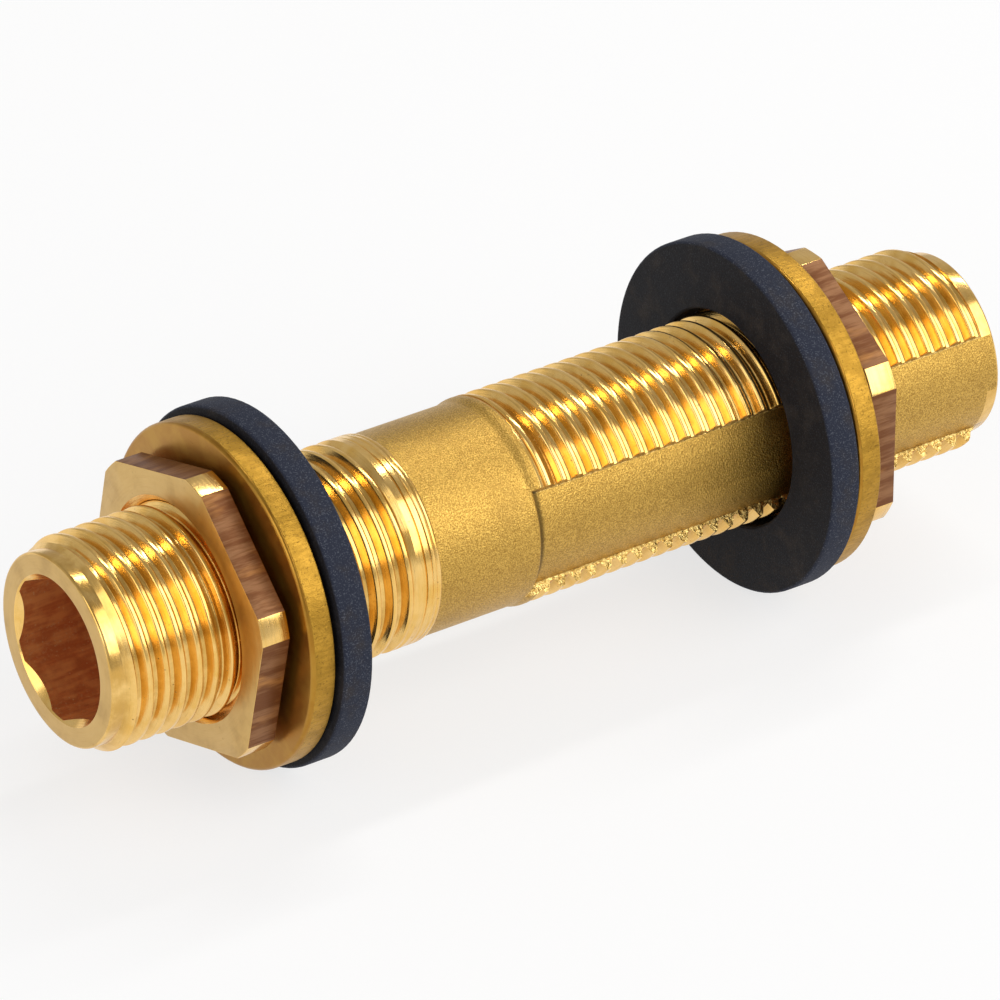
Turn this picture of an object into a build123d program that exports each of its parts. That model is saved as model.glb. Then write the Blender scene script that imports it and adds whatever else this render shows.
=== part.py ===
from build123d import *
from math import hypot, radians, sqrt, tan
import os

# All sizes are in millimetres, with X along the fitting and the origin at the middle of its length.
# The near end has the hexagon socket, and the far half has the relieved sides.

# Half inch parallel pipe thread, cut on both ends of the body.
thread_od = 20.955
thread_root_od = 18.631

# Body, with stations counted from the near end.
total_length = 103.5
lead_length = 1.4
near_lead_od = 19.2
edge_break = 0.35
near_thread_end = 36.3
plain_od = 20.4
shoulder_start = 47.0
shoulder_length = 1.3

# Forged sides of the far half, relieved to the thread's root between two threaded bands.
# The angle is that of each band's wall from the Y axis.
relief_start = 48.0
relief_width = 12.3
relief_wall_angle = 50
relief_root_radius = 0.2
relief_crown_radius = 0.25

# Hexagon socket in the near end, and the round waterway behind it.
socket_across_flats = 13.6
socket_across_corners = 14.7
socket_depth = 14.0
near_mouth_od = 15.0
waterway_od = 12.5
far_mouth_od = 14.0

# Back nuts, sawn from hexagon bar with their corners turned off.
nut_across_flats = 27.5
nut_turned_od = 30.3
nut_thickness = 3.0
nut_countersink = 0.7
nut_running_clearance = 0.08
near_nut_turn = 9.5
far_nut_turn = 56.7

# Flat brass washers, stamped with a rolled edge on the near side.
washer_od = 34.3
washer_thickness = 2.6
washer_clearance = 0.42
washer_rolled_edge = 0.4
washer_sharp_edge = 0.15

# Rubber seals.
seal_od = 35.8
seal_thickness = 3.2
seal_clearance = 0.62
seal_edge = 0.3

# Places along the body, with the gaps between the loose pieces.
near_nut_start = 13.2
far_seal_start = 76.7
near_nut_gap = 0.9
far_nut_gap = 1.3
washer_gap = 0.5

# How far one shape runs into or past another where they are joined or cut.
overrun = 0.2

# How closely an edge must lie where it is looked for.
tolerance = 0.001

thread_r = thread_od / 2
root_r = thread_root_od / 2
near_lead_r = near_lead_od / 2
thread_depth = thread_r - root_r
plain_r = plain_od / 2
hexagon_sides = 6
half_side_angle = 180 / hexagon_sides
far_thread_end = total_length - lead_length - thread_depth

near_washer_start = near_nut_start + nut_thickness + near_nut_gap
near_seal_start = near_washer_start + washer_thickness + washer_gap
far_washer_start = far_seal_start + seal_thickness + washer_gap
far_nut_start = far_washer_start + washer_thickness + far_nut_gap


def at(station):
    """Turn a station counted from the near end into a place on X."""
    return station - total_length / 2


def turned(*points):
    """Spin an outline of places on X and radii about the fitting's axis."""
    return revolve(make_face(Polyline(*points, close=True)), axis=Axis.X)


def hexagon(size, turn):
    """Draw a hexagon with flats the given distance apart, turned from the Y axis."""
    return RegularPolygon(size / 2, hexagon_sides, major_radius=False, rotation=turn + half_side_angle)


def relief_section():
    """Draw the two side gaps between the threaded bands as wedges, as wide as asked at the crests."""
    outer = thread_r + overrun
    crest_z = relief_width / 2
    crest_y = sqrt(thread_r**2 - crest_z**2)
    slope = tan(radians(relief_wall_angle))
    apex_y = crest_y - crest_z / slope
    outer_z = (outer - apex_y) * slope
    side = make_face(Polyline((apex_y, 0), (outer, outer_z), (outer, -outer_z), close=True))
    return side + mirror(side, Plane.YZ)


def make_bands():
    """Make the two raised bands of the far half that carry the thread."""
    last = far_thread_end + thread_depth + overrun
    blank = turned(
        (at(shoulder_start), 0),
        (at(shoulder_start), plain_r - overrun),
        (at(shoulder_start + shoulder_length), thread_r),
        (at(far_thread_end), thread_r),
        (at(last), root_r - overrun),
        (at(last), 0),
    )
    gaps = extrude(Plane.YZ.offset(at(0)) * relief_section(), amount=total_length)
    return blank - gaps


def make_core():
    """Make the body without its bands and holes: near thread, plain length and relieved far half."""
    return turned(
        (at(0), 0),
        (at(0), near_lead_r - edge_break),
        (at(edge_break), near_lead_r),
        (at(lead_length), near_lead_r),
        (at(lead_length + thread_r - near_lead_r), thread_r),
        (at(near_thread_end), thread_r),
        (at(near_thread_end), plain_r),
        (at(relief_start), plain_r),
        (at(relief_start), root_r),
        (at(total_length - edge_break), root_r),
        (at(total_length), root_r - edge_break),
        (at(total_length), 0),
    )


def is_relief_root(edge):
    """Tell whether an edge along X is the inside corner between a band and a relieved side."""
    middle = edge.center()
    return abs(hypot(middle.Y, middle.Z) - root_r) < tolerance < abs(middle.Z)


def is_relief_crown(edge):
    """Tell whether a round edge is where the plain length drops to a relieved side."""
    return abs(edge.radius - plain_r) < tolerance and abs(edge.center().X - at(relief_start)) < tolerance


def make_body():
    """Make the threaded body with its bands, relieved sides, socket and waterway."""
    body = make_core() + make_bands()
    body = fillet(body.edges().filter_by(Axis.X).filter_by(is_relief_root), relief_root_radius)
    body = fillet(body.edges().filter_by(GeomType.CIRCLE).filter_by(is_relief_crown), relief_crown_radius)
    near_face = Plane.YZ.offset(at(0))
    socket = hexagon(socket_across_flats, 0) & Circle(socket_across_corners / 2)
    body -= extrude(near_face * socket, amount=socket_depth)
    body -= extrude(near_face * Circle(waterway_od / 2), amount=total_length)
    body -= turned((at(0), 0), (at(0), near_mouth_od / 2), (at(near_mouth_od / 2), 0))
    far_tip = total_length - far_mouth_od / 2
    body -= turned((at(total_length), 0), (at(total_length), far_mouth_od / 2), (at(far_tip), 0))
    return body


def make_nut(turn):
    """Make a back nut with turned corners and a countersink at both mouths."""
    bore_r = thread_r + nut_running_clearance
    mouth_r = bore_r + nut_countersink
    section = hexagon(nut_across_flats, turn) & Circle(nut_turned_od / 2)
    blank = extrude(Plane.YZ * section, amount=nut_thickness)
    bore = turned(
        (0, 0),
        (0, mouth_r),
        (nut_countersink, bore_r),
        (nut_thickness - nut_countersink, bore_r),
        (nut_thickness, mouth_r),
        (nut_thickness, 0),
    )
    return blank - bore


def make_ring(od, thickness, clearance, first_edge, second_edge):
    """Make a loose ring for the body, with the edges of its two faces rounded."""
    bore_r = thread_r + clearance
    ring = turned((0, bore_r), (0, od / 2), (thickness, od / 2), (thickness, bore_r))
    rims = ring.edges().filter_by(GeomType.CIRCLE).group_by(SortBy.RADIUS)[-1].sort_by(Axis.X)
    ring = fillet(rims[0], first_edge)
    rims = ring.edges().filter_by(GeomType.CIRCLE).group_by(SortBy.RADIUS)[-1].sort_by(Axis.X)
    return fillet(rims[-1], second_edge)


os.makedirs("parts", exist_ok=True)
seal = make_ring(seal_od, seal_thickness, seal_clearance, seal_edge, seal_edge)
washer = make_ring(washer_od, washer_thickness, washer_clearance, washer_rolled_edge, washer_sharp_edge)

pieces = {
    "fitting_body": make_body(),
    "near_back_nut": Pos(at(near_nut_start), 0, 0) * make_nut(near_nut_turn),
    "near_flat_washer": Pos(at(near_washer_start), 0, 0) * washer,
    "near_rubber_seal": Pos(at(near_seal_start), 0, 0) * seal,
    "far_rubber_seal": Pos(at(far_seal_start), 0, 0) * seal,
    "far_flat_washer": Pos(at(far_washer_start), 0, 0) * washer,
    "far_back_nut": Pos(at(far_nut_start), 0, 0) * make_nut(far_nut_turn),
}
for name, piece in pieces.items():
    piece.label = name
    export_step(piece, f"parts/{name}.step")
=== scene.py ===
import logging
from dataclasses import dataclass
from enum import Enum
from itertools import pairwise
from math import atan2, ceil, cos, hypot, pi, radians, sin, sqrt, tan

import bpy
from mathutils import Matrix, Vector


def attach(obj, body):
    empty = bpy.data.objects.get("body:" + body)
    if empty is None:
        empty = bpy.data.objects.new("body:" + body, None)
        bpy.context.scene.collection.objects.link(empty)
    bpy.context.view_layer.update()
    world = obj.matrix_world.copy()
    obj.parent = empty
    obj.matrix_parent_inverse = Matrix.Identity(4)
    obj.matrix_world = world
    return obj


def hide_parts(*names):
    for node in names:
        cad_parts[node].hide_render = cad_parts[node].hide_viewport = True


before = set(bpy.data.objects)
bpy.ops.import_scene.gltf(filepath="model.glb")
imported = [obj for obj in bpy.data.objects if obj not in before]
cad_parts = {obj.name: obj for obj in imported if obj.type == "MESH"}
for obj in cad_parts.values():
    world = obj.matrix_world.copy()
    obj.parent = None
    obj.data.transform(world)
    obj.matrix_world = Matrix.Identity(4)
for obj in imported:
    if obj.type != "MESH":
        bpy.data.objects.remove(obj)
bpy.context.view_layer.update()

LOG = logging.getLogger("wall_plate_fitting")

# Sizes are written in millimetres, and stations are counted along X from the near end.
MM = 0.001
BODY_LENGTH = 103.5

# Spans of a full turn, angles of a hexagon's corners, and the steepest edge that is shaded smooth.
ROUND_STEPS = 96
HEXAGON_CORNERS = (30, 90, 150, 210, 270, 330)
SMOOTH_ANGLE = radians(38)

# Distances in metres at which points are merged, and slivers of a finished piece are dropped.
WELD = 2e-7
SLIVER = 2e-6

Point = tuple[float, float]
Place = tuple[float, float, float]
Colour = tuple[float, float, float]
Piece = bpy.types.Object


def at(station: float) -> float:
    """Turn a station in millimetres into a place on X in metres."""
    return (station - BODY_LENGTH / 2) * MM


def spot(station: float, y: float, z: float = 0.0) -> Vector:
    """Turn a station and places on Y and Z, all in millimetres, into a place in metres."""
    return Vector((at(station), y * MM, z * MM))


def ease(low: float, high: float, value: float) -> float:
    """Rise smoothly from 0 at low to 1 at high."""
    share = min(1.0, max(0.0, (value - low) / (high - low)))
    return share * share * (3 - 2 * share)


def arc(centre: Point, radius: float, first: float, last: float, steps: int) -> list[Point]:
    """List points along an arc about a centre, from one angle in degrees to another, with both ends."""
    turns = (radians(first + (last - first) * i / steps) for i in range(steps + 1))
    return [(centre[0] + radius * cos(a), centre[1] + radius * sin(a)) for a in turns]


def hexagon(flats: float, turn: float) -> list[Point]:
    """List the corners of a hexagon with flats a distance apart, turned by an angle in degrees."""
    corner, turns = flats / 2 / cos(radians(HEXAGON_CORNERS[0])), (radians(turn + a) for a in HEXAGON_CORNERS)
    return [(corner * cos(a), corner * sin(a)) for a in turns]


class Cut(Enum):
    """How one solid is joined with or cut by another."""

    JOIN = "UNION"
    REMOVE = "DIFFERENCE"
    KEEP = "INTERSECT"


class Value:
    """A shader socket that takes part in arithmetic."""

    def __init__(self, nodes: "Nodes", socket: bpy.types.NodeSocket) -> None:
        """Keep the socket with the tree it belongs to."""
        self.nodes = nodes
        self.socket = socket

    def maths(self, operation: str, first: "Value | float", second: "Value | float" = 0.0) -> "Value":
        """Add a Math node with an operation and two operands, and hand its result back."""
        return self.nodes.add("ShaderNodeMath", {"operation": operation}, {0: first, 1: second})

    def __add__(self, other: "Value | float") -> "Value":
        """Add a value."""
        return self.maths("ADD", self, other)

    def __radd__(self, other: float) -> "Value":
        """Add to a number."""
        return self.maths("ADD", other, self)

    def __sub__(self, other: "Value | float") -> "Value":
        """Take a value away."""
        return self.maths("SUBTRACT", self, other)

    def __rsub__(self, other: float) -> "Value":
        """Take away from a number."""
        return self.maths("SUBTRACT", other, self)

    def __mul__(self, other: "Value | float") -> "Value":
        """Multiply by a value."""
        return self.maths("MULTIPLY", self, other)

    def __rmul__(self, other: float) -> "Value":
        """Multiply a number."""
        return self.maths("MULTIPLY", other, self)

    def __abs__(self) -> "Value":
        """Drop the sign."""
        return self.maths("ABSOLUTE", self)

    def rise(self, low: float, high: float) -> "Value":
        """Rise smoothly from 0 at low to 1 at high, or fall where low is the larger.

        Args:
            low: Value where the result is 0.
            high: Value where the result is 1.

        Returns:
            The eased result.
        """
        if low > high:
            return 1 - self.rise(high, low)
        settings = {"interpolation_type": "SMOOTHSTEP"}
        inputs = {"Value": self, "From Min": low, "From Max": high}
        return self.nodes.add("ShaderNodeMapRange", settings, inputs)

    def rise_mm(self, span: Point) -> "Value":
        """Rise smoothly between two lengths in millimetres."""
        return self.rise(span[0] * MM, span[1] * MM)


class Nodes:
    """A node tree that is filled by short calls."""

    def __init__(self, tree: bpy.types.NodeTree) -> None:
        """Start from an empty tree."""
        self.tree = tree
        tree.nodes.clear()

    def add(
        self, kind: str, settings: dict | None = None, inputs: dict | None = None, output: int | str = 0
    ) -> Value:
        """Add a node of any type.

        Args:
            kind: Blender's name of the node type.
            settings: Properties that are set first.
            inputs: Values or links by socket name or number.
            output: Socket that is handed back.

        Returns:
            The chosen output.
        """
        node = self.tree.nodes.new(kind)
        for key, setting in (settings or {}).items():
            setattr(node, key, setting)
        for key, entry in (inputs or {}).items():
            if isinstance(entry, Value):
                self.tree.links.new(entry.socket, node.inputs[key])
            elif isinstance(entry, tuple) and node.inputs[key].type == "RGBA":
                node.inputs[key].default_value = (*entry, 1.0)
            else:
                node.inputs[key].default_value = entry
        return Value(self, node.outputs[output] if node.outputs else node.inputs[0])

    def part(self, vector: Value, axis: str) -> Value:
        """Take the part along X, Y or Z out of a vector."""
        return self.add("ShaderNodeSeparateXYZ", None, {0: vector}, axis)

    def place(self) -> tuple[Value, Value, Value, Value, Value]:
        """Read the surface's own coordinates.

        Returns:
            The place as a vector, then X, Y, Z and the distance from the axis, all in metres.
        """
        vector = self.add("ShaderNodeTexCoord", output="Object")
        x, y, z = (self.part(vector, axis) for axis in "XYZ")
        return vector, x, y, z, x.maths("POWER", y * y + z * z, 0.5)

    def join(self, x: Value | float, y: Value | float, z: Value | float) -> Value:
        """Make a vector of three values."""
        return self.add("ShaderNodeCombineXYZ", None, {0: x, 1: y, 2: z})

    def noise(self, vector: Value, size: float, detail: float = 2.0, rough: float = 0.5) -> Value:
        """Add a cloud pattern about one half, with its largest patches of a size in millimetres."""
        inputs = {"Vector": vector, "Scale": 1 / (size * MM), "Detail": detail, "Roughness": rough}
        return self.add("ShaderNodeTexNoise", None, inputs)

    def cells(self, vector: Value, size: float) -> Value:
        """Add a pattern of the distance to the middles of cells of a size in millimetres."""
        return self.add("ShaderNodeTexVoronoi", None, {"Vector": vector, "Scale": 1 / (size * MM)})

    def blend(self, share: Value | float, first: Value | Colour, second: Value | Colour) -> Value:
        """Mix two colours by the share of the second."""
        return self.add("ShaderNodeMix", {"data_type": "RGBA"}, {0: share, 6: first, 7: second}, 2)

    def bump(self, height: Value, depth: float, normal: Value | None = None) -> Value:
        """Turn a height into a normal.

        Args:
            height: Height from 0 to 1.
            depth: Depth of a full step in millimetres.
            normal: Normal of another pattern under this one.

        Returns:
            The new normal.
        """
        inputs = {"Height": height, "Distance": depth * MM, "Strength": 1.0}
        if normal is not None:
            inputs["Normal"] = normal
        return self.add("ShaderNodeBump", None, inputs)


class Finish:
    """A finish whose material is made once and then shared."""

    name: str

    def material(self) -> bpy.types.Material:
        """Fetch the material, making it at the first call.

        Returns:
            The finish as a material.
        """
        found = bpy.data.materials.get(self.name)
        if found is None:
            found = bpy.data.materials.new(self.name)
            found.use_nodes = True
            nodes = Nodes(found.node_tree)
            shader = nodes.add("ShaderNodeBsdfPrincipled", None, self.sockets(nodes))
            nodes.add("ShaderNodeOutputMaterial", None, {"Surface": shader})
        return found

    def sockets(self, nodes: Nodes) -> dict:
        """Set the shader's sockets."""
        raise NotImplementedError


@dataclass(frozen=True)
class TurnedBrass(Finish):
    """Bright brass fresh from the lathe, with fine streaks along the thread."""

    name: str = "turned_brass"
    bright: Colour = (0.93, 0.61, 0.21)
    warm: Colour = (0.85, 0.50, 0.115)
    dark_brown: Colour = (0.50, 0.29, 0.075)
    faced: Colour = (0.58, 0.385, 0.145)
    stain: Colour = (0.36, 0.20, 0.06)
    roughness: float = 0.16
    pitch: float = 1.814
    streak_run: float = 0.4
    tooling_size: float = 0.1
    tooling_depth: float = 0.006
    ring_size: float = 0.45
    ring_depth: float = 0.02
    cloud_size: float = 3.2
    speck_size: float = 0.85
    speck_patch: float = 4.0
    root_above: Point = (9.0, 9.4)
    root_below: Point = (10.3, 9.65)

    def sockets(self, nodes: Nodes) -> dict:
        """Set the shader's sockets.

        Args:
            nodes: Tree that is filled.

        Returns:
            Values and links by socket name.
        """
        vector, x, y, z, radius = nodes.place()
        turn = y.maths("ARCTAN2", z, 0 - y)
        along = x + turn * (self.pitch * MM / (2 * pi))
        rings = nodes.join(along, radius, turn * (self.streak_run * MM))
        tooling = nodes.noise(rings, self.tooling_size, 3.0, 0.6)
        coarse_rings = nodes.noise(rings, self.ring_size, 2.0)
        clouds = nodes.noise(vector, self.cloud_size, 4.0, 0.6)
        speck_patches = nodes.noise(vector, self.speck_patch, 2.0).rise(0.52, 0.62)
        specks = nodes.cells(vector, self.speck_size).rise(0.16, 0.07) * speck_patches
        colour = nodes.blend(clouds.rise(0.35, 0.7), self.bright, self.warm)
        colour = nodes.blend(specks * 0.75, colour, self.stain)
        colour = nodes.blend(coarse_rings.rise(0.5, 0.75) * 0.5, colour, self.warm)
        colour = nodes.blend(tooling.rise(0.56, 0.75) * 0.4, colour, self.dark_brown)
        ahead = nodes.part(nodes.add("ShaderNodeNewGeometry", output="Normal"), "X")
        cut_face = abs(ahead).rise(0.9, 0.98)
        colour = nodes.blend(cut_face * (0.6 + 0.4 * clouds), colour, self.faced)
        colour = nodes.blend(cut_face * clouds.rise(0.5, 0.75) * 0.3, colour, self.stain)
        # The thread roots are darkened in cloudy patches.
        root = radius.rise_mm(self.root_above) * radius.rise_mm(self.root_below) * (1 - cut_face)
        colour = nodes.blend(root * clouds.rise(0.3, 0.62) * 0.5, colour, self.dark_brown)
        normal = nodes.bump(tooling, self.tooling_depth)
        normal = nodes.bump(coarse_rings, self.ring_depth, normal)
        return {
            "Base Color": colour,
            "Metallic": 1.0,
            "Roughness": self.roughness + 0.1 * tooling.rise(0.4, 0.7) + 0.2 * specks + 0.18 * cut_face,
            "Normal": normal,
        }


@dataclass(frozen=True)
class ForgedBrass(Finish):
    """Blasted brass as it leaves the forge, matte with a fine sparkling grain and painted shade in the crease
    behind the shoulder step.
    """

    name: str = "forged_brass"
    light: Colour = (0.71, 0.445, 0.102)
    deep: Colour = (0.38, 0.213, 0.042)
    dull: Colour = (0.36, 0.21, 0.05)
    crease_shade: Colour = (0.085, 0.05, 0.013)
    roughness: float = 0.38
    grain_size: float = 0.13
    grain_depth: float = 0.048
    patch_size: float = 5.0
    crease: float = 48.0
    crease_start: Point = (-0.1, 0.05)
    crease_end: Point = (1.1, 0.55)
    crease_below: Point = (9.95, 9.7)

    def sockets(self, nodes: Nodes) -> dict:
        """Set the shader's sockets.

        Args:
            nodes: Tree that is filled.

        Returns:
            Values and links by socket name.
        """
        vector, x, _, _, radius = nodes.place()
        # Painted shade: the relieved floor just behind the shoulder step is darkened, as if the crown shaded
        # it.
        behind = x - at(self.crease)
        corner = behind.rise_mm(self.crease_start) * behind.rise_mm(self.crease_end)
        corner = corner * radius.rise_mm(self.crease_below)
        grain = nodes.noise(vector, self.grain_size, 2.0, 0.6)
        pits = nodes.cells(vector, self.grain_size * 1.5)
        patches = nodes.noise(vector, self.patch_size, 3.0, 0.6)
        colour = nodes.blend(grain.rise(0.34, 0.66), self.deep, self.light)
        colour = nodes.blend(patches.rise(0.5, 0.8) * 0.4, colour, self.dull)
        colour = nodes.blend(corner * 0.85, colour, self.crease_shade)
        normal = nodes.bump(pits, self.grain_depth * 0.6)
        normal = nodes.bump(grain, self.grain_depth, normal)
        return {
            "Base Color": colour,
            "Metallic": 1.0,
            "Roughness": self.roughness - 0.14 * grain.rise(0.5, 0.75) + 0.08 * patches,
            "Normal": normal,
        }


# The walls of the threaded bands, where the thread was trimmed away with a coarser grain.
TRIMMED_BRASS = ForgedBrass(
    name="trimmed_brass",
    light=(0.86, 0.62, 0.22),
    deep=(0.46, 0.28, 0.07),
    roughness=0.3,
    grain_size=0.34,
    grain_depth=0.2,
)


@dataclass(frozen=True)
class BoreBrass(Finish):
    """Dull red brown brass inside the bore, with small bright nicks, most of them in the socket's corners."""

    name: str = "bore_brass"
    brown: Colour = (0.64, 0.21, 0.06)
    red: Colour = (0.85, 0.38, 0.12)
    nick: Colour = (0.85, 0.58, 0.28)
    cloud_size: float = 1.6
    streak_size: float = 0.5
    streak_stretch: float = 0.12
    relief_depth: float = 0.05
    nick_size: float = 0.5
    nick_patch: float = 1.3
    corner_nick: float = 0.3
    corner: Point = (6.95, 7.2)

    def sockets(self, nodes: Nodes) -> dict:
        """Set the shader's sockets.

        Args:
            nodes: Tree that is filled.

        Returns:
            Values and links by socket name.
        """
        vector, x, y, z, radius = nodes.place()
        clouds = nodes.noise(vector, self.cloud_size, 4.0, 0.65)
        streaks = nodes.noise(nodes.join(x * self.streak_stretch, y, z), self.streak_size, 3.0)
        mottle = clouds * 0.5 + streaks * 0.5
        nick_patches = nodes.noise(vector, self.nick_patch, 2.0).rise(0.46, 0.6)
        nicks = nodes.cells(vector, self.nick_size).rise(0.22, 0.08) * nick_patches
        torn = nodes.noise(vector, self.corner_nick, 3.0, 0.7).rise(0.52, 0.68)
        nicks = nicks + 0.5 * radius.rise_mm(self.corner) * torn
        tint = nodes.blend(mottle.rise(0.4, 0.62), self.brown, self.red)
        return {
            "Base Color": nodes.blend(nicks * 0.7, tint, self.nick),
            "Metallic": 0.6,
            "Roughness": 0.28 + 0.25 * clouds,
            "Normal": nodes.bump(mottle, self.relief_depth),
        }


@dataclass(frozen=True)
class RawBar(Finish):
    """Oxidised skin of drawn hexagon bar, with streaks along the axis."""

    name: str = "raw_hexagon_bar"
    brown: Colour = (0.18, 0.064, 0.020)
    violet: Colour = (0.31, 0.148, 0.064)
    copper: Colour = (0.56, 0.26, 0.075)
    streak_stretch: float = 0.1
    streak_size: float = 1.1
    streak_depth: float = 0.04
    fine_size: float = 0.22
    fine_depth: float = 0.02
    cloud_stretch: float = 0.3
    cloud_size: float = 2.2

    def sockets(self, nodes: Nodes) -> dict:
        """Set the shader's sockets.

        Args:
            nodes: Tree that is filled.

        Returns:
            Values and links by socket name.
        """
        _, x, y, z, _ = nodes.place()
        drawn = nodes.join(x * self.streak_stretch, y, z)
        streaks = nodes.noise(drawn, self.streak_size, 5.0, 0.68)
        fine = nodes.noise(drawn, self.fine_size, 2.0)
        clouds = nodes.noise(nodes.join(x * self.cloud_stretch, y, z), self.cloud_size, 3.0, 0.6)
        colour = nodes.blend(streaks.rise(0.41, 0.6), self.brown, self.violet)
        colour = nodes.blend(clouds.rise(0.52, 0.72) * 0.7, colour, self.copper)
        colour = nodes.blend(fine.rise(0.52, 0.7) * 0.5, colour, self.brown)
        normal = nodes.bump(streaks, self.streak_depth)
        return {
            "Base Color": colour,
            "Metallic": 0.72,
            "Roughness": 0.36 + 0.22 * streaks,
            "Normal": nodes.bump(fine, self.fine_depth, normal),
        }


@dataclass(frozen=True)
class StampedBrass(Finish):
    """Stamped brass washer: satin face, rolled edge, then a torn and speckled rim."""

    name: str
    torn_from: float
    outside: float
    face: Colour = (0.40, 0.19, 0.026)
    worn: Colour = (0.47, 0.25, 0.038)
    light: Colour = (0.53, 0.295, 0.042)
    torn: Colour = (0.34, 0.185, 0.024)
    dark: Colour = (0.13, 0.07, 0.014)
    rim_inset: float = 0.12
    rim_fade: float = 0.05
    wander_stretch: float = 0.2
    wander_size: float = 1.1
    wander_reach: float = 0.2
    tear_fade: Point = (-0.04, 0.05)
    tear_depth: float = 0.06
    crack_stretch: float = 0.18
    crack_size: float = 0.3
    cloud_size: float = 2.4
    speckle_size: float = 0.28
    scratch_stretch: float = 0.15
    scratch_size: float = 0.12
    scratch_depth: float = 0.008

    def sockets(self, nodes: Nodes) -> dict:
        """Set the shader's sockets.

        Args:
            nodes: Tree that is filled.

        Returns:
            Values and links by socket name.
        """
        vector, x, y, z, radius = nodes.place()
        inset = self.outside - self.rim_inset
        rim = radius.rise_mm((inset - self.rim_fade, inset))
        wander = nodes.noise(nodes.join(x * self.wander_stretch, y, z), self.wander_size, 3.0)
        behind = x - at(self.torn_from) + (wander - 0.5) * (self.wander_reach * MM)
        torn = rim * behind.rise_mm(self.tear_fade)
        cracks = nodes.noise(nodes.join(x * self.crack_stretch, y, z), self.crack_size, 3.0, 0.7)
        clouds = nodes.noise(vector, self.cloud_size, 4.0, 0.6)
        speckle = nodes.noise(vector, self.speckle_size, 3.0, 0.7)
        smooth = nodes.blend(clouds.rise(0.35, 0.7), self.face, self.worn)
        rough = nodes.blend(cracks.rise(0.56, 0.40) * 0.5, self.light, self.torn)
        rough = nodes.blend(clouds.rise(0.42, 0.66) * 0.7, rough, self.torn)
        rough = nodes.blend(speckle.rise(0.56, 0.68) * 0.6, rough, self.dark)
        scratch = nodes.noise(nodes.join(x, y * self.scratch_stretch, z), self.scratch_size, 2.0)
        normal = nodes.bump(scratch, self.scratch_depth)
        normal = nodes.bump(torn * (cracks * 0.6 + speckle * 0.6), self.tear_depth, normal)
        return {
            "Base Color": nodes.blend(torn, smooth, rough),
            "Metallic": 0.92 + 0.08 * rim,
            "Roughness": 0.24 + 0.12 * clouds + 0.16 * torn,
            "Normal": normal,
        }


@dataclass(frozen=True)
class SealRubber(Finish):
    """Dark rubber with pale dust specks, navy at the rim and browner on its faces."""

    name: str
    outside: float
    rim_blue: Colour = (0.0165, 0.0205, 0.0370)
    face_brown: Colour = (0.0080, 0.0077, 0.0102)
    bloom: Colour = (0.042, 0.034, 0.029)
    speck: Colour = (0.20, 0.22, 0.26)
    rim_start: float = 0.35
    rim_full: float = 0.1
    patch_size: float = 3.6
    grain_size: float = 0.2
    grain_depth: float = 0.05
    dust_size: float = 0.14

    def sockets(self, nodes: Nodes) -> dict:
        """Set the shader's sockets.

        Args:
            nodes: Tree that is filled.

        Returns:
            Values and links by socket name.
        """
        vector, _, _, _, radius = nodes.place()
        rim = radius.rise_mm((self.outside - self.rim_start, self.outside - self.rim_full))
        patches = nodes.noise(vector, self.patch_size, 4.0, 0.65)
        grain = nodes.noise(vector, self.grain_size, 3.0, 0.65)
        dust = nodes.noise(vector, self.dust_size, 1.0).rise(0.55, 0.72) * (0.3 + 0.7 * rim)
        colour = nodes.blend(rim, self.face_brown, self.rim_blue)
        colour = nodes.blend(patches.rise(0.45, 0.75) * 0.6, colour, self.bloom)
        colour = nodes.blend(dust * 0.3, colour, self.speck)
        return {
            "Base Color": colour,
            "Roughness": 0.62 + 0.2 * patches,
            "Specular IOR Level": 0.2,
            "Normal": nodes.bump(grain, self.grain_depth),
        }


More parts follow.
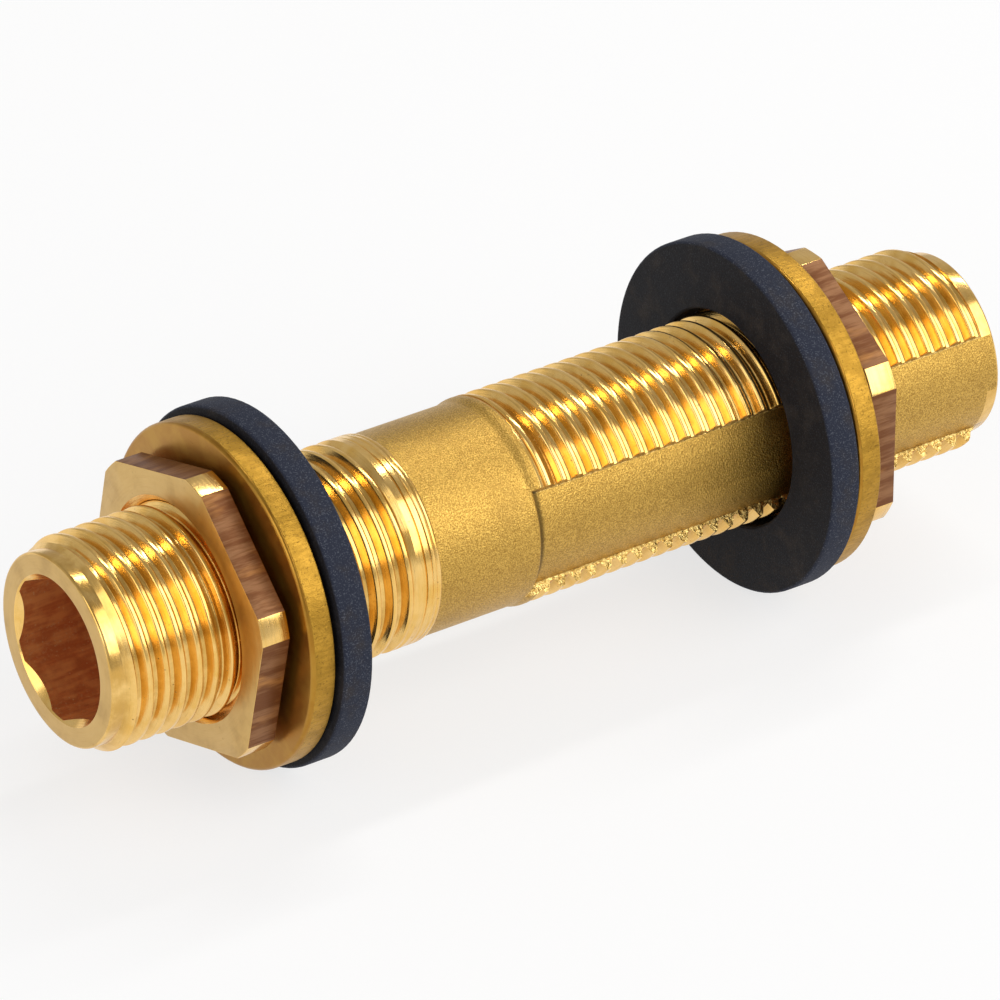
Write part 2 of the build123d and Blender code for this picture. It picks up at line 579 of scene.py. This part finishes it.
class Bench:
    """The modelling steps that the pieces share."""

    @staticmethod
    def deselect() -> None:
        """Leave nothing selected."""
        bpy.ops.object.select_all(action="DESELECT")

    @classmethod
    def pick(cls, piece: Piece) -> None:
        """Make a piece the only one selected, and the active one.

        Args:
            piece: Piece that the next step works on.
        """
        cls.deselect()
        piece.select_set(True)
        bpy.context.view_layer.objects.active = piece

    @staticmethod
    def weld() -> None:
        """Select the whole mesh in edit mode and merge its doubled points."""
        bpy.ops.mesh.select_all(action="SELECT")
        bpy.ops.mesh.remove_doubles(threshold=WELD)

    @classmethod
    def close_shell(cls) -> None:
        """Merge doubled points of the mesh in edit mode, turn its faces outwards and leave edit mode."""
        cls.weld()
        bpy.ops.mesh.normals_make_consistent(inside=False)
        bpy.ops.object.mode_set(mode="OBJECT")

    @classmethod
    def trace(cls, name: str, places: list[Vector], closed: bool) -> Piece:
        """Draw a line, one extruded point after another, and stay in edit mode with all of it selected.

        Args:
            name: Name of the piece.
            places: Points of the line in metres, in order.
            closed: Whether the last point joins the first.

        Returns:
            The piece that holds the line.
        """
        cls.deselect()
        bpy.ops.mesh.primitive_plane_add(size=MM, location=places[0])
        piece = bpy.context.object
        piece.name = piece.data.name = name
        bpy.ops.object.transform_apply(location=True, rotation=True, scale=True)
        bpy.ops.object.mode_set(mode="EDIT")
        bpy.ops.mesh.select_all(action="SELECT")
        bpy.ops.mesh.merge(type="CENTER")
        for first, second in pairwise(places + places[:1] * closed):
            bpy.ops.mesh.extrude_vertices_move(TRANSFORM_OT_translate={"value": second - first})
        cls.weld()
        return piece

    @classmethod
    def turned(cls, name: str, points: list[Point], finish: Finish, closed: bool = False) -> Piece:
        """Spin an outline about the axis, as on a lathe.

        Args:
            name: Name of the piece.
            points: Stations and radii in millimetres.
            finish: Finish of the turned faces.
            closed: Whether the outline is a ring clear of the axis.

        Returns:
            The turned solid.
        """
        piece = cls.trace(name, [spot(s, r) for s, r in points], closed)
        bpy.ops.mesh.spin(steps=ROUND_STEPS, angle=2 * pi, center=(0, 0, 0), axis=(1, 0, 0))
        cls.close_shell()
        piece.data.materials.append(finish.material())
        return piece

    @classmethod
    def bar(cls, name: str, section: list[Point], first: float, last: float, finish: Finish) -> Piece:
        """Extrude a section of places on Y and Z along the axis.

        Args:
            name: Name of the piece.
            section: Corners of the section in millimetres, in order.
            first: Station where the bar starts.
            last: Station where the bar ends.
            finish: Finish of its faces.

        Returns:
            The solid bar.
        """
        piece = cls.trace(name, [spot(first, y, z) for y, z in section], closed=True)
        bpy.ops.mesh.edge_face_add()
        travel = {"value": ((last - first) * MM, 0, 0)}
        bpy.ops.mesh.extrude_region_move(TRANSFORM_OT_translate=travel)
        cls.close_shell()
        piece.data.materials.append(finish.material())
        return piece

    @classmethod
    def combine(cls, piece: Piece, tool: Piece, cut: Cut) -> None:
        """Join a solid to a piece or cut the piece with it, and use the solid up.

        Args:
            piece: Piece that is changed.
            tool: Solid that brings its own finish with it.
            cut: How the two are combined.
        """
        step = piece.modifiers.new("combine", "BOOLEAN")
        step.operation = cut.value
        step.solver = "MANIFOLD"
        step.material_mode = "TRANSFER"
        step.object = tool
        cls.pick(piece)
        bpy.ops.object.modifier_apply(modifier=step.name)
        bpy.data.objects.remove(tool)

    @classmethod
    def finish(cls, piece: Piece, node: str, body: str, slot: str) -> Piece:
        """Drop the slivers of a piece, shade it, and tie it to the CAD node that it stands for.

        Args:
            piece: Finished solid.
            node: CAD node that it replaces.
            body: CAD body that it rides on.
            slot: Material slot of the record; not used.

        Returns:
            The same piece.
        """
        cls.pick(piece)
        bpy.ops.object.mode_set(mode="EDIT")
        bpy.ops.mesh.select_all(action="SELECT")
        bpy.ops.mesh.dissolve_degenerate(threshold=SLIVER)
        bpy.ops.mesh.select_all(action="SELECT")
        bpy.ops.mesh.remove_doubles(threshold=SLIVER)
        bpy.ops.object.mode_set(mode="OBJECT")
        bpy.ops.object.shade_smooth_by_angle(angle=SMOOTH_ANGLE)
        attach(piece, body)
        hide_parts(node)
        return piece


@dataclass
class PipeThread:
    """A half inch parallel pipe thread, rounded at its crests and roots and shallower than the standard."""

    crest_radius: float = 10.4775
    root_radius: float = 9.6
    pitch: float = 1.814
    flank_angle: float = 27.5
    crest_flat: float = 0.09
    rounding: float = 0.2
    arc_steps: int = 5
    spare_turns: int = 2

    def profile(self, growth: float) -> list[Point]:
        """Draw one pitch of the thread from root to root, about a crest at 0.

        Args:
            growth: How far the profile is moved outwards in millimetres.

        Returns:
            Places along the axis and radii in millimetres.
        """
        tilt = 90 - self.flank_angle
        bend, lean = self.rounding, radians(self.flank_angle)
        crest = arc((self.crest_flat, self.crest_radius - bend), bend, 90, 90 - tilt, self.arc_steps)
        drop = self.crest_radius - self.root_radius - 2 * bend * (1 - sin(lean))
        middle = self.crest_flat + 2 * bend * cos(lean) + drop * tan(lean)
        root = arc((middle, self.root_radius + bend), bend, 270 - tilt, 270, self.arc_steps)
        half = [*crest, *root, (self.pitch / 2, self.root_radius)]
        whole = [(-x, r) for x, r in reversed(half)] + half
        return [(x, r + growth) for x, r in whole]

    def rod(
        self, name: str, first: float, last: float, phase: float, growth: float, finish: Finish
    ) -> Piece:
        """Make a solid threaded rod.

        Args:
            name: Name of the rod.
            first: Station where it starts.
            last: Station where it ends.
            phase: Share of a turn that the helix is turned by.
            growth: How far the thread is moved outwards in millimetres.
            finish: Finish of the thread.

        Returns:
            The closed rod.
        """
        start = (ceil(first / self.pitch) - self.spare_turns + phase) * self.pitch
        rod = Bench.trace(name, [spot(start + x, r) for x, r in self.profile(growth)], closed=False)
        bpy.ops.object.mode_set(mode="OBJECT")
        helix = rod.modifiers.new("helix", "SCREW")
        helix.axis = "X"
        helix.angle = 2 * pi
        helix.screw_offset = self.pitch * MM
        helix.iterations = ceil((last - start) / self.pitch) + self.spare_turns
        helix.steps = helix.render_steps = ROUND_STEPS
        Bench.pick(rod)
        bpy.ops.object.modifier_apply(modifier=helix.name)
        bpy.ops.object.mode_set(mode="EDIT")
        Bench.weld()
        for station, ahead in ((first, -1), (last, 1)):
            bpy.ops.mesh.select_all(action="SELECT")
            place, facing = (at(station), 0, 0), (ahead, 0, 0)
            bpy.ops.mesh.bisect(
                plane_co=place, plane_no=facing, use_fill=True, clear_outer=True, threshold=WELD / 10
            )
        Bench.close_shell()
        rod.data.materials.append(finish.material())
        return rod


@dataclass
class FittingBody:
    """The threaded brass tube with its plain length, relieved sides, socket and waterway."""

    thread: PipeThread
    near_phase: float = 0.578
    far_phase: float = 0.014
    core_radius: float = 8.9
    buried_radius: float = 8.5
    overlap: float = 0.1
    overrun: float = 1.0
    rounding_steps: int = 4
    fillet_steps: int = 5

    # Leads at both ends, where the thread starts.
    lead_length: float = 1.4
    near_lead: float = 9.6
    end_rounding: float = 0.3
    lead_cone: float = 1.5
    core_overhang: float = 0.3
    ring_overhang: float = 0.4
    rod_overhang: float = 0.5

    # Turned band that the near thread runs out into. Its grooves and edge are places before its end and depths.
    turned_band_end: float = 36.3
    collar_length: float = 2.6
    near_rod_gap: float = 2.8
    near_run_out: float = 1.25
    grooves: tuple[Point, ...] = ((1.72, 0.16), (1.0, 0.13), (0.5, 0.09))
    groove_half_width: float = 0.1
    groove_lips: Point = (0.02, 0.03)
    collar_edge: tuple[Point, ...] = ((0.14, 0.06), (0.0, 0.17))

    # Plain length and the soft shoulder behind it, which fades out beside the bands over some degrees.
    plain_radius: float = 10.2
    plain_start: float = 35.9
    shoulder_start: float = 47.2
    shoulder_end: float = 48.4
    shoulder_spans: int = 8
    shoulder_fade: Point = (6.0, 3.0)
    tolerance: float = 1e-4

    # Start of the far thread, with its rod, slope and edge counted from there.
    far_thread_start: float = 48.75
    far_rod_gap: float = 0.4
    far_collar_lap: float = 0.05
    far_collar_edge: tuple[Point, ...] = ((0.0, 0.02), (0.12, 0.04))
    far_run_out: float = 2.4

    # Relieved sides between the threaded bands.
    relief_start: float = 48.0
    relief_half_width: float = 6.15
    relief_radius: float = 9.3155
    relief_wall: float = 50.0
    relief_root: float = 0.15
    relief_crown: float = 0.35
    relief_foot: float = 0.2
    relief_skim: float = 0.012
    relief_reach: float = 0.9
    gap_reach: float = 1.5
    gap_apex: float = 1.0
    fillet_rounds: int = 40

    # Hexagon socket, waterway and mouths.
    socket_flats: float = 13.6
    socket_corners: float = 14.7
    socket_depth: float = 14.0
    drill_cone: Point = (0.3, 0.6)
    near_mouth: float = 15.0
    waterway: float = 12.5
    far_mouth: float = 14.0

    def core(self) -> Piece:
        """Make the forged core: slim inside the threads and full along the plain length, with a shoulder.

        Returns:
            The core, whose shoulder rises only to the two bands.
        """
        crest, slim = self.thread.crest_radius, self.core_radius
        first, last, plain = self.shoulder_start, self.shoulder_end, self.plain_radius
        points = [(-self.core_overhang, 0), (-self.core_overhang, slim)]
        points += [(self.plain_start, slim), (self.plain_start, plain)]
        for i in range(self.shoulder_spans + 1):
            station = first + (last - first) * i / self.shoulder_spans
            points.append((station, plain + (crest - plain) * ease(first, last, station)))
        points += [(self.far_thread_start, crest), (self.far_thread_start, slim)]
        points += [(BODY_LENGTH + self.core_overhang, slim), (BODY_LENGTH + self.core_overhang, 0)]
        core = Bench.turned("fitting_body_dressed", points, ForgedBrass())
        band_angle = atan2(self.relief_half_width, sqrt(crest**2 - self.relief_half_width**2))
        below, above = (radians(fade) for fade in self.shoulder_fade)
        for vertex in core.data.vertices:
            radius = hypot(vertex.co.y, vertex.co.z)
            if radius > (plain + self.tolerance) * MM:
                turn = atan2(abs(vertex.co.z), abs(vertex.co.y))
                share = ease(band_angle - below, band_angle + above, turn)
                wanted = plain * MM + (radius - plain * MM) * share
                vertex.co.yz = vertex.co.yz * (wanted / radius)
        return core

    def near_collar(self) -> Piece:
        """Make the turned band that the near thread runs out into.

        Returns:
            A ring with fine grooves.
        """
        crest, end = self.thread.crest_radius, self.turned_band_end
        start = end - self.collar_length
        foot = start - self.near_run_out
        points = [(foot, self.buried_radius), (foot, self.thread.root_radius - self.overlap), (start, crest)]
        half, (before, after) = self.groove_half_width, self.groove_lips
        for place, depth in self.grooves:
            groove = ((-half, before), (0.0, depth), (half, after))
            points += [(end - place + shift, crest - drop) for shift, drop in groove]
        points += [(end - place, crest - depth) for place, depth in self.collar_edge]
        points.append((end, self.buried_radius))
        return Bench.turned("near_collar", points, TurnedBrass(), closed=True)

    def near_lead_ring(self) -> Piece:
        """Make the plain turned lead ahead of the near thread.

        Returns:
            A ring that is trimmed to size by the envelope.
        """
        end, over = self.lead_length, self.near_lead + self.overlap
        points = [(-self.ring_overhang, self.buried_radius), (-self.ring_overhang, over)]
        points += [(end - self.overlap, over), (end + self.overlap, self.thread.root_radius - self.overlap)]
        points.append((end + self.overlap, self.buried_radius))
        return Bench.turned("near_lead_ring", points, TurnedBrass(), closed=True)

    def far_collar(self) -> Piece:
        """Make the slope where the far thread runs out at the shoulder.

        Returns:
            A ring that slopes down to the thread's root.
        """
        crest = self.thread.crest_radius
        start = self.far_thread_start - self.far_collar_lap
        end = start + self.far_run_out
        points = [(start, self.buried_radius)]
        points += [(start + place, crest - depth) for place, depth in self.far_collar_edge]
        points += [(end, self.thread.root_radius - self.overlap), (end, self.buried_radius)]
        return Bench.turned("far_collar", points, TurnedBrass(), closed=True)

    def envelope(self) -> Piece:
        """Make the turned shape that trims the ends of the threads to their leads.

        Returns:
            A solid that the body is kept inside of.
        """
        soft, end, cone = self.end_rounding, self.lead_length, self.lead_cone
        sizes, steps = (self.near_lead, self.relief_radius), self.rounding_steps
        near, far = (
            [(0.0, 0.0), *arc((soft, r - soft), soft, 180, 90, steps), (end, r), (end + cone, r + cone)]
            for r in sizes
        )
        points = near + [(BODY_LENGTH - s, r) for s, r in reversed(far)]
        return Bench.turned("lead_envelope", points, TurnedBrass())

    def relief_section(self) -> list[Point]:
        """Draw the wedge between the two threaded bands on one side, with filleted feet.

        Returns:
            Places on Y and Z in millimetres, in order.
        """
        slope = radians(self.relief_wall)
        crest, fillet = self.thread.crest_radius, self.relief_root
        crest_y = sqrt(crest**2 - self.relief_half_width**2)

        def wall(y: float) -> float:
            """Give the height of the wall at a distance from the axis."""
            return self.relief_half_width + (y - crest_y) * tan(slope)

        middle_y = crest_y
        for _ in range(self.fillet_rounds):
            middle_z = wall(middle_y) - fillet / cos(slope)
            middle_y = sqrt((self.relief_radius + fillet) ** 2 - middle_z**2)
        middle_z = wall(middle_y) - fillet / cos(slope)
        foot = 180 + atan2(middle_z, middle_y) * 180 / pi
        outer = crest + self.gap_reach
        upper = [(outer, wall(outer))]
        upper += arc((middle_y, middle_z), fillet, 90 + self.relief_wall, foot, self.fillet_steps)
        return [*upper, (self.gap_apex, 0.0), *((y, -z) for y, z in reversed(upper))]

    def relief_cutters(self) -> list[Piece]:
        """Make the two cutters that relieve the sides of the far half.

        Returns:
            The cutters for the front and the back.
        """
        start, root, crown = self.relief_start, self.relief_radius, self.relief_crown
        foot, end = self.relief_foot, BODY_LENGTH + self.overrun
        top, ahead = self.thread.crest_radius + self.relief_reach, start - crown - self.overlap
        points = [(ahead, top), (ahead, self.plain_radius + self.relief_skim)]
        points += arc((start - crown, self.plain_radius - crown), crown, 90, 0, self.fillet_steps)
        points += arc((start + foot, root + foot), foot, 180, 270, self.rounding_steps)
        points += [(end, root), (end, top)]
        front = Bench.turned("front_relief", points, ForgedBrass(), closed=True)
        past = 2 * self.overrun
        side = Bench.bar("side_gap", self.relief_section(), start - past, BODY_LENGTH + past, TRIMMED_BRASS)
        Bench.combine(front, side, Cut.KEEP)
        Bench.pick(front)
        bpy.ops.object.duplicate()
        back = bpy.context.object
        bpy.ops.transform.rotate(value=pi, orient_axis="X", center_override=(0, 0, 0))
        bpy.ops.object.transform_apply(location=True, rotation=True, scale=True)
        return [front, back]

    def bores(self) -> list[Piece]:
        """Make the cutters for the hexagon socket, the waterway and the two mouths.

        Returns:
            The four cutters.
        """
        dull, bright = BoreBrass(), TurnedBrass()
        first, last, depth = -self.overrun, BODY_LENGTH + self.overrun, self.socket_depth
        circle, water = self.socket_corners / 2, self.waterway / 2
        near, far = self.near_mouth / 2, self.far_mouth / 2
        section = hexagon(self.socket_flats, 0)
        socket = Bench.bar("key_socket", section, first, depth + 2 * self.overrun, dull)
        before, after = self.drill_cone
        reach = [(first, 0), (first, circle), (depth - before, circle)]
        reach += [(depth + after, water - self.overlap), (depth + after, 0)]
        Bench.combine(socket, Bench.turned("socket_round", reach, dull), Cut.KEEP)
        tube = [(first, 0), (first, water), (last, water), (last, 0)]
        near_cone = [(first, 0), (first, near + self.overrun), (near, 0)]
        far_cone = [(last, 0), (last, far + self.overrun), (BODY_LENGTH - far, 0)]
        return [
            socket,
            Bench.turned("waterway", tube, dull),
            Bench.turned("near_mouth", near_cone, bright),
            Bench.turned("far_mouth", far_cone, bright),
        ]

    def build(self) -> Piece:
        """Make the whole body and dress it.

        Returns:
            The finished body.
        """
        body = self.core()
        bright = TurnedBrass()
        near_end = self.turned_band_end - self.near_rod_gap
        far_start = self.far_thread_start + self.far_rod_gap
        far_end = BODY_LENGTH + self.rod_overhang
        near = self.thread.rod("near_rod", -self.rod_overhang, near_end, self.near_phase, 0, bright)
        far = self.thread.rod("far_rod", far_start, far_end, self.far_phase, 0, bright)
        for part in (self.near_lead_ring(), self.near_collar(), self.far_collar(), near, far):
            Bench.combine(body, part, Cut.JOIN)
        Bench.combine(body, self.envelope(), Cut.KEEP)
        for cutter in self.relief_cutters() + self.bores():
            Bench.combine(body, cutter, Cut.REMOVE)
        return Bench.finish(body, "fitting_body", "body", "body_brass")


@dataclass
class BackNut:
    """A back nut cut from hexagon bar, with turned faces and corners and a tapped hole."""

    name: str
    node: str
    body: str
    start: float
    turn: float
    phase: float
    thread: PipeThread
    thickness: float = 3.0
    flats: float = 27.5
    turned_od: float = 30.3
    edge_break: float = 0.09
    edge_segments: int = 2
    edge_angle: float = 20.0
    mouth: float = 11.26
    mouth_overrun: float = 0.3
    running_clearance: float = 0.06
    overrun: float = 1.0

    def build(self) -> Piece:
        """Make the nut and dress it.

        Returns:
            The finished nut.
        """
        bright = TurnedBrass()
        start, end = self.start, self.start + self.thickness
        first, last = start - self.overrun, end + self.overrun
        nut = Bench.bar(self.name, hexagon(self.flats, self.turn), first, last, RawBar())
        radius = self.turned_od / 2
        blank = [(start, 0), (start, radius), (end, radius), (end, 0)]
        Bench.combine(nut, Bench.turned("nut_blank", blank, bright), Cut.KEEP)
        edges = nut.modifiers.new("edge_break", "BEVEL")
        edges.width = self.edge_break * MM
        edges.segments = self.edge_segments
        edges.limit_method = "ANGLE"
        edges.angle_limit = radians(self.edge_angle)
        Bench.pick(nut)
        bpy.ops.object.modifier_apply(modifier=edges.name)
        tap = self.thread.rod("tap", first, last, self.phase, self.running_clearance, bright)
        past, half = self.mouth_overrun, self.thickness / 2
        sink = [(start - past, 0), (start - past, self.mouth + past), (start + half, self.mouth - half)]
        sink += [(end + past, self.mouth + past), (end + past, 0)]
        Bench.combine(nut, tap, Cut.REMOVE)
        Bench.combine(nut, Bench.turned("countersinks", sink, bright), Cut.REMOVE)
        return Bench.finish(nut, self.node, self.body, "nut_brass")


@dataclass
class FlatWasher:
    """A stamped brass washer with a rolled edge on its near side and a torn rim."""

    name: str
    node: str
    body: str
    start: float
    thickness: float = 2.6
    outside: float = 17.15
    bore: float = 10.8975
    near_break: float = 0.12
    far_break: float = 0.1
    rolled_edge: float = 0.4
    rolled_steps: int = 6
    sharp_edge: float = 0.15
    sharp_steps: int = 3

    def build(self) -> Piece:
        """Make the washer and dress it.

        Returns:
            The finished washer.
        """
        roll, sharp, out = self.rolled_edge, self.sharp_edge, self.outside
        wide, bore, near, far = self.thickness, self.bore, self.near_break, self.far_break
        outline = [(0.0, bore + near), *arc((roll, out - roll), roll, 180, 90, self.rolled_steps)]
        outline += arc((wide - sharp, out - sharp), sharp, 90, 0, self.sharp_steps)
        outline += [(wide, bore + far), (wide - far, bore), (near, bore)]
        points = [(self.start + s, r) for s, r in outline]
        finish = StampedBrass(f"stamped_{self.name}", self.start + roll, out)
        washer = Bench.turned(self.name, points, finish, closed=True)
        return Bench.finish(washer, self.node, self.body, "washer_brass")


@dataclass
class RubberSeal:
    """A flat rubber ring that seals against the wall."""

    name: str
    node: str
    body: str
    start: float
    thickness: float = 3.2
    outside: float = 17.9
    bore: float = 11.0975
    bore_break: float = 0.2
    edge: float = 0.3
    edge_steps: int = 4

    def build(self) -> Piece:
        """Make the seal and dress it.

        Returns:
            The finished seal.
        """
        edge, out, steps = self.edge, self.outside, self.edge_steps
        start, end = self.start, self.start + self.thickness
        bore, soft = self.bore, self.bore_break
        points = [(start, bore + soft), *arc((start + edge, out - edge), edge, 180, 90, steps)]
        points += [*arc((end - edge, out - edge), edge, 90, 0, steps), (end, bore + soft)]
        points += [(end - soft, bore), (start + soft, bore)]
        seal = Bench.turned(self.name, points, SealRubber("dusty_rubber", out), closed=True)
        return Bench.finish(seal, self.node, self.body, "seal_rubber")


@dataclass(frozen=True)
class SoftLamp:
    """A soft lamp that hangs in a direction from the fitting and faces it.

    Its distance, its width along X and its height are in metres, and a radiance of 1 is white.
    """

    name: str
    direction: Place
    size: Point
    radiance: float
    distance: float = 0.9

    def hang(self) -> None:
        """Add the lamp to the scene, hidden from the camera."""
        away = Vector(self.direction).normalized()
        light = bpy.data.lights.new(self.name, "AREA")
        light.shape = "RECTANGLE"
        light.size, light.size_y = self.size
        light.energy = self.radiance * pi * self.size[0] * self.size[1]
        lamp = bpy.data.objects.new(self.name, light)
        bpy.context.scene.collection.objects.link(lamp)
        height = away.cross(Vector((1, 0, 0))).normalized()
        width = height.cross(away).normalized()
        turn = Matrix((width, height, away)).transposed()
        lamp.matrix_world = Matrix.Translation(away * self.distance) @ turn.to_4x4()
        lamp.visible_camera = False


@dataclass
class Studio:
    """The pale floor, the soft lamps, the surround and the camera."""

    floor_drop: float = 17.95
    floor_size: float = 8.0
    paper: Colour = (0.9, 0.9, 0.9)
    glow: Colour = (1.0, 1.0, 1.0)
    glow_share: float = 0.72
    low_surround: Colour = (0.52, 0.52, 0.52)
    high_surround: Colour = (0.36, 0.35, 0.34)
    surround_fade: Point = (0.45, 0.8)
    lens: float = 295.45
    sensor: float = 36.0
    clip: Point = (0.05, 50.0)
    camera_place: Place = (-0.39130, -0.53337, 0.42740)
    camera_right: Place = (0.82005, -0.57121, 0.03494)
    camera_up: Place = (0.28683, 0.46308, 0.83861)
    lamps: tuple[SoftLamp, ...] = (
        SoftLamp("broad_lamp", (0.495, -0.656, 0.570), (0.8, 0.8), 2.5),
        SoftLamp("strip_lamp", (0.495, 0.30, 0.815), (0.8, 0.06), 18.0),
        SoftLamp("side_lamp", (-0.88, -0.20, 0.43), (0.6, 0.6), 1.6),
    )

    def floor(self) -> None:
        """Lay the pale floor under the seals."""
        Bench.deselect()
        bpy.ops.mesh.primitive_plane_add(size=self.floor_size, location=(0, 0, -self.floor_drop * MM))
        floor = bpy.context.object
        floor.name = "studio_floor"
        bpy.ops.object.transform_apply(location=True, rotation=True, scale=True)
        paper = bpy.data.materials.new("studio_paper")
        paper.use_nodes = True
        nodes = Nodes(paper.node_tree)
        matte = nodes.add("ShaderNodeBsdfDiffuse", None, {"Color": self.paper})
        white = nodes.add("ShaderNodeEmission", None, {"Color": self.glow, "Strength": 1.0})
        kinds = ("Camera", "Glossy", "Transmission")
        rays = [nodes.add("ShaderNodeLightPath", output=f"Is {kind} Ray") for kind in kinds]
        seen = rays[0] + rays[1] + rays[2]
        mixed = nodes.add("ShaderNodeMixShader", None, {0: seen * self.glow_share, 1: matte, 2: white})
        nodes.add("ShaderNodeOutputMaterial", None, {"Surface": mixed})
        floor.data.materials.append(paper)

    def world(self) -> None:
        """Set a pale surround that darkens overhead."""
        world = bpy.data.worlds.new("studio_world")
        bpy.context.scene.world = world
        world.use_nodes = True
        nodes = Nodes(world.node_tree)
        height = nodes.part(nodes.add("ShaderNodeTexCoord", output="Generated"), "Z")
        colour = nodes.blend(height.rise(*self.surround_fade), self.low_surround, self.high_surround)
        light = nodes.add("ShaderNodeBackground", None, {"Color": colour, "Strength": 1.0})
        nodes.add("ShaderNodeOutputWorld", None, {"Surface": light})

    def camera(self) -> None:
        """Set the camera at the photograph's viewing angle."""
        data = bpy.data.cameras.new("camera")
        data.lens = self.lens
        data.sensor_width = self.sensor
        data.clip_start, data.clip_end = self.clip
        camera = bpy.data.objects.new("camera", data)
        bpy.context.scene.collection.objects.link(camera)
        right, up = Vector(self.camera_right), Vector(self.camera_up)
        turn = Matrix((right, up, right.cross(up))).transposed()
        camera.matrix_world = Matrix.Translation(Vector(self.camera_place)) @ turn.to_4x4()
        bpy.context.scene.camera = camera

    def build(self) -> None:
        """Set up the floor, the surround, the lamps and the camera."""
        self.floor()
        self.world()
        for lamp in self.lamps:
            lamp.hang()
        self.camera()
        bpy.context.scene.view_settings.view_transform = "Standard"


def main() -> None:
    """Build the fitting piece by piece, then the studio around it."""
    thread = PipeThread()
    body = FittingBody(thread)
    near_nut = {"start": 13.2, "turn": 9.5, "phase": body.near_phase}
    far_nut = {"start": 84.3, "turn": 56.7, "phase": body.far_phase}
    pieces = [
        body,
        BackNut("near_nut_dressed", "near_back_nut", "near_nut", thread=thread, **near_nut),
        BackNut("far_nut_dressed", "far_back_nut", "far_nut", thread=thread, **far_nut),
        FlatWasher("near_washer_dressed", "near_flat_washer", "near_washer", start=17.1),
        FlatWasher("far_washer_dressed", "far_flat_washer", "far_washer", start=80.4),
        RubberSeal("near_seal_dressed", "near_rubber_seal", "near_seal", start=20.2),
        RubberSeal("far_seal_dressed", "far_rubber_seal", "far_seal", start=76.7),
    ]
    for piece in pieces:
        built = piece.build()
        LOG.info("%s: %d faces", built.name, len(built.data.polygons))
    Studio().build()


if __name__ == "__main__":
    logging.basicConfig(level=logging.INFO)
    main()
